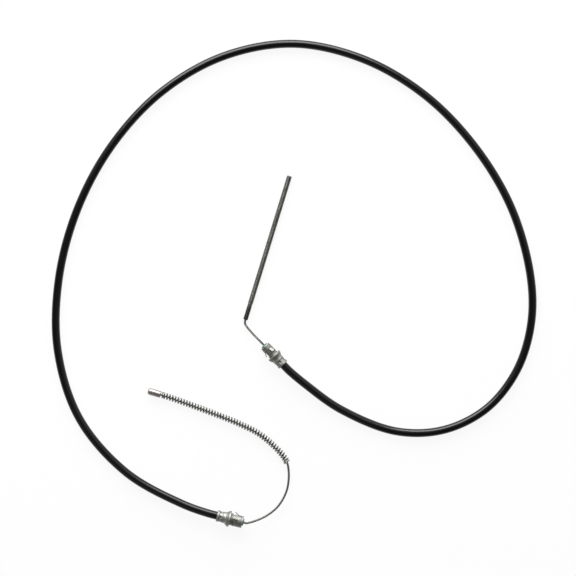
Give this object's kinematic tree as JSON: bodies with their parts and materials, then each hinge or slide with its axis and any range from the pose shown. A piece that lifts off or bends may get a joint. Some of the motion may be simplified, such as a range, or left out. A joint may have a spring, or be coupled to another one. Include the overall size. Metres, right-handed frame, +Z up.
{
  "type": "parking brake cable",
  "caption": "Black jacketed cable in an open loop, with snap-in flanged end fittings, a threaded adjusting rod and a return spring with an end stop.",
  "frame": {"origin": "middle of the cable's outline as it lies, on the surface that it lies on", "axes": "+Z up out of that surface; +Y up the picture, the outline's longest side; +X to the right"},
  "size_m": [0.5326, 0.5363, 0.0179],
  "materials": {
    "jacket": "smooth extruded black jacket, semi-gloss",
    "armour": "wound flat steel wire, hidden under the jacket",
    "liner": "smooth natural plastic tube, hidden",
    "rope": "galvanised strand, dull grey",
    "ferrule": "clear zinc plate, satin",
    "clip": "zinc plated spring strip, satin",
    "bush": "moulded green nylon",
    "spring": "plated spring wire, bright",
    "rod": "rolled thread, oiled dark grey steel",
    "stop": "turned and plated, bright"
  },
  "bodies": {
    "root": {"conduit_jacket": "jacket", "conduit_armour": "armour", "conduit_liner": "liner", "wire_rope": "rope", "rod_side_ferrule": "ferrule", "rod_side_snap_clip": "clip", "rod_side_guide_bush": "bush", "spring_side_ferrule": "ferrule", "spring_side_snap_clip": "clip", "spring_side_guide_bush": "bush", "return_spring": "spring", "adjusting_rod": "rod", "end_stop": "stop"}
  },
  "joints": []
}
